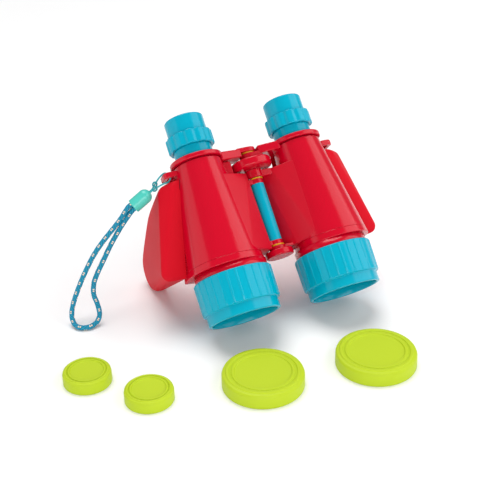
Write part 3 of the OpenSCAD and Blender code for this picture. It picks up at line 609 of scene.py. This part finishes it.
def addWheel():
    low, high, r = stations["focus_wheel"]
    bore, hub, front = hinge["spindleBore"], wheel["hubR"], low + pair["play"]
    rear = front + wheel["width"]
    path = roundPath([(bore, low), (hub, low), (hub, front), (r, front), (r, rear), (hub, rear), (hub, high),
                      (bore, high)], wheel["edges"], steps=wheel["steps"])
    addRed("focusWheel", closedTurn(path, columns["fine"]), "focus_wheel", "focus_wheel")


def addShoulder():
    # wall of the left shell beside the wheel
    s = shoulder
    across = (s["inner"] + s["edge"], s["outer"])
    corners = [(x, y, s["edge"]) for x in across for y in (s["front"], s["back"])]
    addRed("leftShoulder", mirrored(slabGrid(corners, s["low"], s["top"], s["edge"]), -1), "left_half")


def addHinge():
    low, high, r = stations["shaft_sleeve"]
    sleeve = collar(hinge["tubeBore"], r, low, high, hinge["sleeveEdge"])
    addBlue("shaftSleeve", sleeve, "left_half", "shaft_sleeve")
    low, high, r = stations["hinge_cap"]
    path = roundPath([(0, low), (r, low), (r, high), (0, high)], hinge["capEdges"])
    addRed("hingeCap", turned(path, columns["plain"]), "left_half", "hinge_cap")
    for part, body in (("bottom", "left_half"), ("middle", "left_half"), ("top", "left_bridge")):
        low, high, r = stations["washer_" + part]
        bore = hinge["spindleBore" if part == "top" else "tubeBore"]
        piece = putGrid(part + "Washer", fromPair(collar(bore, r, low, high, hinge["washerEdge"])))
        keep(piece, body, "yellow_washer", "yellowSatin", "washer_" + part)
    addKnuckles()
    addWheel()
    addShoulder()


addHinge()
print("hinge made")

# Side grips: a skin drawn tight round rounded rims, four at the front face, two at the foot, two at the back
grip = dict(frontZ=30.0, rearZ=82.0, corner=5.0, edge=2.0, faceDrop=6.0, outerRise=4.6, innerRise=10.0,
            rearW=10.4, frontW=13.5, footZ=48.5, footR=13.0, footX=60.0, footT=10.0, footEdge=3.6,
            backZ=61.7, backDrop=29.0, backR=15.0, backStep=2.7, rows=110, columns=220, soft=1.2,
            poleGap=0.004)
# painted shade along the joint between grip and barrel: size and placing of the dark strip
seamShadeLine = dict(half=0.32, heightShare=0.5, frontGap=1.6, rearGap=0.5, rows=80, columns=12)


def gripRims():
    # centre, axis, radius of the rim's core and radius of its round section
    g = grip
    low, high, c = g["frontZ"] + g["corner"], g["rearZ"] - g["corner"], g["corner"]
    footY = g["footZ"] * leanCos / leanSin + pair["lipR"] - g["footR"] / leanSin  # stands on the table
    faceY, core = g["faceDrop"] + g["edge"], c - g["edge"]
    beads = [(flank(low), faceY, low), (flank(low) + g["frontW"] - c, faceY, low),
             (flank(high), faceY - g["innerRise"], high),
             (flank(high) + g["rearW"] - c, faceY - g["outerRise"], high)]
    rims = [(bead, (0, 1, 0), core, g["edge"]) for bead in beads]
    e = g["footEdge"]
    for x in (g["footX"] - e, g["footX"] - g["footT"] + e):
        rims.append(((x, footY, g["footZ"]), (1, 0, 0), g["footR"] - e, e))
        rims.append(((x - g["backStep"], g["backDrop"], g["backZ"]), (1, 0, 0), g["backR"] - e, e))
    return rims


def tightSkin(rims):
    # one point for each direction: the one on any rim that reaches furthest that way, blended with its rivals
    tiny = 1e-9  # keeps a direction along a rim's axis from dividing by zero
    polar = np.linspace(grip["poleGap"], np.pi - grip["poleGap"], grip["rows"])[:, None]
    turn = np.linspace(0, fullTurn, grip["columns"], endpoint=False)[None, :]
    way = np.stack([np.cos(polar) + 0 * turn, np.sin(polar) * np.cos(turn), np.sin(polar) * np.sin(turn)], -1)
    points = []
    for centre, axis, core, edge in rims:
        axis = np.array(axis, float)
        flat = way - (way @ axis)[..., None] * axis
        flat = flat / np.maximum(np.linalg.norm(flat, axis=-1, keepdims=True), tiny)
        points.append(np.array(centre) + core * flat + edge * way)
    points = np.array(points)
    far = (points * way).sum(-1)
    share = np.exp((far - far.max(0)) / grip["soft"])
    return (points * (share / share.sum(0))[..., None]).sum(0)


def addGrip(name, side):
    skin = mirrored(closeEnds(tightSkin(gripRims())), side)
    keep(putGrid(name + "Grip", fromPair(skin)), name + "_half", "satin_red", "redSatin", name + "_grip")


def addSeamShade(name, side):
    # painted shade of the gap where the grip's front face meets the barrel: a dark red flat oval carried
    # along the joint
    g, s = grip, seamShadeLine
    low, high = g["frontZ"] + g["corner"], g["rearZ"] - g["corner"]
    z = np.linspace(g["frontZ"] + s["frontGap"], g["rearZ"] - s["rearGap"], s["rows"])
    y = g["faceDrop"] - g["innerRise"] * (z - low) / (high - low)
    r = shellR(z)
    bend = np.arcsin(y / r)
    out = np.stack([np.cos(bend), np.sin(bend), 0 * z], -1)
    along = np.stack([-np.sin(bend), np.cos(bend), 0 * z], -1)
    middle = np.stack([flank(z) - r, 0 * z, z], -1) + r[:, None] * out
    a = np.linspace(0, fullTurn, s["columns"], endpoint=False)[None, :, None]
    oval = s["heightShare"] * np.cos(a) * out[:, None] + np.sin(a) * along[:, None]
    grid = mirrored(closeEnds(middle[:, None] + s["half"] * oval), side)
    keep(putGrid(name + "GripSeamShade", fromPair(grid)), name + "_half", "satin_red", "redPaintedShade")


for name, side in sides:
    addGrip(name, side)
    addSeamShade(name, side)
print("grips made")

# Strap lugs: flat plates square to the barrels, each with a slot
lug = dict(low=84.0, high=87.0, reach=6.7, front=3.4, back=7.8, corner=3.0, slotR=1.95, bar=2.3, end=1.4,
           root=5.0, rootCorner=1.0, edgeShares=(0, 0.12, 0.16, 0.16, 0.12, 0), holdShare=0.02)


def addLug(name, side):
    # a rounded section carried round the slot: u from the slot to the rim, v from the low face up
    g = lug
    edge, c, k = flank(g["low"]) + g["reach"], g["corner"], g["rootCorner"]
    rim = [(edge - c, y, c) for y in (c - g["front"], g["back"] - c)]
    rim += [(edge - g["reach"] - g["root"], y, k) for y in (k - g["front"], g["back"] - k)]
    slotX, slotEnd = edge - g["bar"] - g["slotR"], g["end"] + g["slotR"]
    slot = [(slotX, y, g["slotR"]) for y in (slotEnd - g["front"], g["back"] - slotEnd)]
    corners = [(0, 0.5), (0, 0), (1, 0), (1, 1), (0, 1), (0, 0.5)]
    section = roundPath(corners, g["edgeShares"], hold=g["holdShare"])
    u, v = section[:, :1, None], section[:, 1:]
    flat = furthest(slot)[None] * (1 - u) + furthest(rim)[None] * u
    z = np.broadcast_to((g["low"] + (g["high"] - g["low"]) * v)[..., None], flat.shape[:2] + (1,))
    addRed(name + "StrapLug", mirrored(np.concatenate([flat, z], -1), side), name + "_half")


for name, side in sides:
    addLug(name, side)
print("lugs made")

# Caps on the table: two raised rings on the roof, a round brim and an open bore below
caps = dict(large=dict(r=21.0, h=8.3, bore=20.15), small=dict(r=12.5, h=6.9, bore=11.25), roof=1.75,
            outerShare=0.86, innerShare=0.73, ridgeShare=0.035, ridgeBase=0.25, crestShare=0.6,
            brimShare=0.975, dishDrop=0.75, floorDrop=0.6, innerDrop=0.05, grooveDrop=0.55, rimDrop=0.45,
            brimDrop=0.75, sideDrop=2.0,
            edges=(0, 0.3, 0.25, 0.3, 0.3, 0.25, 0.25, 0.3, 0.3, 0.3, 0.7, 0.8, 0.25, 0.2, 0.4, 0),
            hold=0.06, columns=160)
capKinds = {"large_cap_a": "large", "large_cap_b": "large", "small_cap_a": "small", "small_cap_b": "small"}


def capPath(size):
    # radius and height from the middle of the roof, over both ridges and the brim, and back inside
    c, r, h, bore = caps, size["r"], size["h"], size["bore"]
    outer, inner, w = c["outerShare"] * r, c["innerShare"] * r, c["ridgeShare"] * r + c["ridgeBase"]
    crest, under = c["crestShare"] * w, h - c["roof"]
    path = [(0, h - c["dishDrop"]), (inner - 2 * w, h - c["floorDrop"]), (inner - w, h - c["floorDrop"]),
            (inner - crest, h - c["innerDrop"]), (inner + crest, h - c["innerDrop"]),
            (inner + w, h - c["grooveDrop"]), (outer - w, h - c["grooveDrop"]),
            (outer - crest, h), (outer + crest, h), (outer + w, h - c["rimDrop"]),
            (c["brimShare"] * r, h - c["brimDrop"]), (r, h - c["sideDrop"]), (r, 0),
            (bore, 0), (bore, under), (0, under)]
    return roundPath(path, c["edges"], hold=c["hold"])


def addCaps():
    for node, kind in capKinds.items():
        low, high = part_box(node)
        middle = np.array([(low.x + high.x) / 2, (low.y + high.y) / 2, 0])
        grid = turned(capPath(caps[kind]), caps["columns"]) / perMetre + middle
        keep(putGrid(node.replace("_", ""), grid), node, "lime", "limeMatte", node)


addCaps()
print("caps made")


def srgb(r, g, b):
    # 8-bit display colour to the linear colour that shaders use
    v = np.array([r, g, b], float) / 255
    return tuple(np.where(v <= 0.04045, v / 12.92, ((v + 0.055) / 1.055) ** 2.4)) + (1.0,)


# Materials: gloss is the roughness, shine the level of reflection
mould = dict(driftScale=28, driftDetail=3, grainDetail=4, bumpDepth=0.0004)
finishes = {
    "redGloss": dict(colour=(202, 0, 36), drift=(194, 0, 32), gloss=0.15, uneven=0.05,
                     grain=700, bump=0.015, shine=0.36),
    "redFlat": dict(colour=(202, 0, 36), drift=(194, 0, 32), gloss=0.34, uneven=0.1,
                    grain=700, bump=0.015, shine=0.36),
    "redSatin": dict(colour=(210, 20, 38), drift=(203, 14, 34), gloss=0.42, uneven=0.1,
                     grain=1500, bump=0.05, shine=0.05),
    # painted shade: dark red for the strip in the gap between grip and barrel
    "redPaintedShade": dict(colour=(104, 0, 14), drift=(92, 0, 12), gloss=0.4, uneven=0.1,
                     grain=1200, bump=0.02, shine=0.2),
    "blueGloss": dict(colour=(0, 169, 194), drift=(0, 162, 188), gloss=0.11, uneven=0.05,
                      grain=800, bump=0.01, shine=0.24),
    "limeMatte": dict(colour=(184, 205, 26), drift=(178, 200, 20), gloss=0.5, uneven=0.1,
                      grain=1600, bump=0.05, shine=0.35),
    "yellowSatin": dict(colour=(222, 168, 20), drift=(212, 156, 14), gloss=0.35, uneven=0.1,
                        grain=1200, bump=0.03, shine=0.4),
    "mintGloss": dict(colour=(84, 204, 190), drift=(76, 197, 182), gloss=0.2, uneven=0.06,
                      grain=800, bump=0.02, shine=0.5),
}
flecked = dict(dark=(0, 112, 146), light=(0, 152, 186), fleck=(246, 212, 178), rows=4, pitch=2.1,
               pairShare=0.085, dashShare=0.055, rowShare=0.22, windAlong=9.4, windRound=31.4, rough=0.72,
               bump=0.5, depth=0.0002)
twisted = dict(dark=(20, 150, 160), light=(70, 190, 195), scale=1.6, rough=0.6)
lens = dict(tint=(0.86, 0.94, 0.97, 1), drift=(0.78, 0.9, 0.95, 1), scale=60, rough=0.04, index=1.49)


def blend(tree, factor, a, b):
    # mixes two colours, each a fixed one or a socket
    node = tree.nodes.new("ShaderNodeMix")
    node.data_type = "RGBA"
    tree.links.new(factor, node.inputs["Factor"])
    for label, colour in (("A", a), ("B", b)):
        if isinstance(colour, tuple):
            node.inputs[label].default_value = colour
        else:
            tree.links.new(colour, node.inputs[label])
    return node.outputs["Result"]


def noise(tree, scale, detail=2):
    # fixed scale, or one from a socket; 2 is Blender's own detail
    node = tree.nodes.new("ShaderNodeTexNoise")
    node.inputs["Detail"].default_value = detail
    coord = tree.nodes.new("ShaderNodeTexCoord")
    tree.links.new(coord.outputs["Object"], node.inputs["Vector"])
    if isinstance(scale, (int, float)):
        node.inputs["Scale"].default_value = scale
    else:
        tree.links.new(scale, node.inputs["Scale"])
    return node.outputs["Fac"]


def addBump(tree, height, strength, depth):
    bump = tree.nodes.new("ShaderNodeBump")
    bump.inputs["Strength"].default_value = strength
    bump.inputs["Distance"].default_value = depth
    tree.links.new(height, bump.inputs["Height"])
    tree.links.new(bump.outputs["Normal"], tree.nodes["Principled BSDF"].inputs["Normal"])


def mouldedGroup():
    # moulded plastic: slow drift of colour, uneven gloss and a fine skin
    tree = bpy.data.node_groups.new("mouldedSkin", "ShaderNodeTree")
    kinds = dict(Colour="Color", Drift="Color", Gloss="Float", Unevenness="Float", Grain="Float")
    for label, kind in kinds.items():
        tree.interface.new_socket(label, in_out="INPUT", socket_type="NodeSocket" + kind)
    for label, kind in dict(Colour="Color", Roughness="Float", Height="Float").items():
        tree.interface.new_socket(label, in_out="OUTPUT", socket_type="NodeSocket" + kind)
    src, out = tree.nodes.new("NodeGroupInput"), tree.nodes.new("NodeGroupOutput")
    slow = noise(tree, mould["driftScale"], mould["driftDetail"])
    colour = blend(tree, slow, src.outputs["Colour"], src.outputs["Drift"])
    swing = tree.nodes.new("ShaderNodeMath")
    swing.operation = "MULTIPLY_ADD"
    for i, value in enumerate((slow, src.outputs["Unevenness"], src.outputs["Gloss"])):
        tree.links.new(value, swing.inputs[i])
    tree.links.new(colour, out.inputs["Colour"])
    tree.links.new(swing.outputs[0], out.inputs["Roughness"])
    tree.links.new(noise(tree, src.outputs["Grain"], mould["grainDetail"]), out.inputs["Height"])
    return tree


moulded = mouldedGroup()


def blank(name):
    m = bpy.data.materials.new(name)
    m.use_nodes = True
    return m, m.node_tree, m.node_tree.nodes["Principled BSDF"]


def plasticMaterial(name, f):
    m, tree, skin = blank(name)
    g = tree.nodes.new("ShaderNodeGroup")
    g.node_tree = moulded
    g.inputs["Colour"].default_value = srgb(*f["colour"])
    g.inputs["Drift"].default_value = srgb(*f["drift"])
    g.inputs["Gloss"].default_value = f["gloss"]
    g.inputs["Unevenness"].default_value = f["uneven"]
    g.inputs["Grain"].default_value = f["grain"]
    tree.links.new(g.outputs["Colour"], skin.inputs["Base Color"])
    tree.links.new(g.outputs["Roughness"], skin.inputs["Roughness"])
    addBump(tree, g.outputs["Height"], f["bump"], mould["bumpDepth"])
    skin.inputs["Specular IOR Level"].default_value = f["shine"]
    return m


def alongMap(tree):
    uv = tree.nodes.new("ShaderNodeUVMap")
    uv.uv_map = "along"
    return uv.outputs["UV"]


def braidedMaterial():
    # blue braid with pairs of cream flecks in rows round the cord; u counts diameters along it
    f = flecked
    m, tree, skin = blank("braidedCord")
    split = tree.nodes.new("ShaderNodeSeparateXYZ")
    tree.links.new(alongMap(tree), split.inputs["Vector"])
    u, v = split.outputs["X"], split.outputs["Y"]

    def op(kind, *values):
        node = tree.nodes.new("ShaderNodeMath")
        node.operation = kind
        for i, value in enumerate(values):
            if isinstance(value, (int, float)):
                node.inputs[i].default_value = value
            else:
                tree.links.new(value, node.inputs[i])
        return node.outputs[0]

    def fromMiddle(value):
        # distance from the middle of each cell
        return op("ABSOLUTE", op("SUBTRACT", op("FRACT", value), 0.5))

    row = op("MULTIPLY", v, f["rows"])
    along = op("ADD", op("DIVIDE", u, f["pitch"]), op("MULTIPLY", op("FLOOR", row), 0.5))
    pairGap = op("ABSOLUTE", op("SUBTRACT", fromMiddle(along), f["pairShare"]))
    inDash, inRow = op("LESS_THAN", pairGap, f["dashShare"]), op("LESS_THAN", fromMiddle(row), f["rowShare"])
    wind = op("ADD", op("MULTIPLY", u, f["windAlong"]), op("MULTIPLY", v, f["windRound"]))
    strands = op("MULTIPLY_ADD", op("SINE", wind), 0.5, 0.5)
    base = blend(tree, strands, srgb(*f["dark"]), srgb(*f["light"]))
    colour = blend(tree, op("MULTIPLY", inDash, inRow), base, srgb(*f["fleck"]))
    tree.links.new(colour, skin.inputs["Base Color"])
    skin.inputs["Roughness"].default_value = f["rough"]
    addBump(tree, strands, f["bump"], f["depth"])
    return m


def stringMaterial():
    # thin twisted string: dark lines wind round it
    m, tree, skin = blank("twistedString")
    wave = tree.nodes.new("ShaderNodeTexWave")
    wave.wave_type = "BANDS"
    wave.bands_direction = "DIAGONAL"
    wave.inputs["Scale"].default_value = twisted["scale"]
    tree.links.new(alongMap(tree), wave.inputs["Vector"])
    colour = blend(tree, wave.outputs["Fac"], srgb(*twisted["dark"]), srgb(*twisted["light"]))
    tree.links.new(colour, skin.inputs["Base Color"])
    skin.inputs["Roughness"].default_value = twisted["rough"]
    return m


def lensMaterial():
    # clear plastic lens with a faint cool tint that drifts
    m, tree, skin = blank("clearLens")
    colour = blend(tree, noise(tree, lens["scale"]), lens["tint"], lens["drift"])
    tree.links.new(colour, skin.inputs["Base Color"])
    skin.inputs["Roughness"].default_value = lens["rough"]
    skin.inputs["IOR"].default_value = lens["index"]
    skin.inputs["Transmission Weight"].default_value = 1.0
    return m


paints = {name: plasticMaterial(name, f) for name, f in finishes.items()}
paints["braidedCord"] = braidedMaterial()
paints["twistedString"] = stringMaterial()
paints["clearLens"] = lensMaterial()
cadPaints = {"objective_lens": "clearLens", "eyepiece_lens": "clearLens", "lens_retainer": "blueGloss",
             "hinge_tube": "blueGloss", "focus_spindle": "blueGloss"}


def paint(obj, name):
    obj.data.materials.clear()
    obj.data.materials.append(paints[name])


for obj, name in made.values():
    paint(obj, name)
for node, obj in nodes.items():
    for ending, name in cadPaints.items():
        if node.endswith(ending):
            paint(obj, name)
print("materials set")

# Studio: panels on the right and in front, a weaker one on the left, and a soft sun from above and behind
studio = dict(aim=(0, 0, 0.05), world=0.23,
              panels=dict(right=dict(turn=64, rise=32, away=1.3, wide=1.6, high=1.1, power=10.0),
                          left=dict(turn=-98, rise=14, away=1.3, wide=1.3, high=1.0, power=3.4),
                          front=dict(turn=-18, rise=14, away=1.6, wide=1.6, high=0.7, power=13.0)),
              top=dict(turn=180, rise=72, away=1.5, spread=45, power=1.95))
table = dict(half=6.0, shade=0.96, rough=0.9)


def addLight(name, data, p):
    data.energy = p["power"]
    turn, rise = np.radians(p["turn"]), np.radians(p["rise"])
    way = Vector((np.sin(turn) * np.cos(rise), -np.cos(turn) * np.cos(rise), np.sin(rise)))
    light = bpy.data.objects.new(name, data)
    light.location = Vector(studio["aim"]) + p["away"] * way
    light.rotation_euler = way.to_track_quat("Z", "Y").to_euler()
    light.visible_camera = False
    scene.collection.objects.link(light)


def addLights():
    for name, panel in studio["panels"].items():
        data = bpy.data.lights.new(name, "AREA")
        data.shape, data.size, data.size_y = "RECTANGLE", panel["wide"], panel["high"]
        addLight(name, data, panel)
    data = bpy.data.lights.new("top", "SUN")
    data.angle = np.radians(studio["top"]["spread"])
    addLight("top", data, studio["top"])


def addWorld():
    world = bpy.data.worlds.new("studio")
    scene.world = world
    world.use_nodes = True
    sky = world.node_tree.nodes["Background"]
    sky.inputs["Color"].default_value = (1, 1, 1, 1)
    sky.inputs["Strength"].default_value = studio["world"]


def addFloor():
    h, shade = table["half"], table["shade"]
    obj = putMesh("table", np.array([(-h, -h, 0), (h, -h, 0), (h, h, 0), (-h, h, 0)]), [[0, 1, 2, 3]])
    m, _, skin = blank("whiteTable")
    skin.inputs["Base Color"].default_value = (shade, shade, shade, 1)
    skin.inputs["Roughness"].default_value = table["rough"]
    skin.inputs["Specular IOR Level"].default_value = 0.0
    obj.data.materials.append(m)


addLights()
addWorld()
addFloor()
print("studio set")
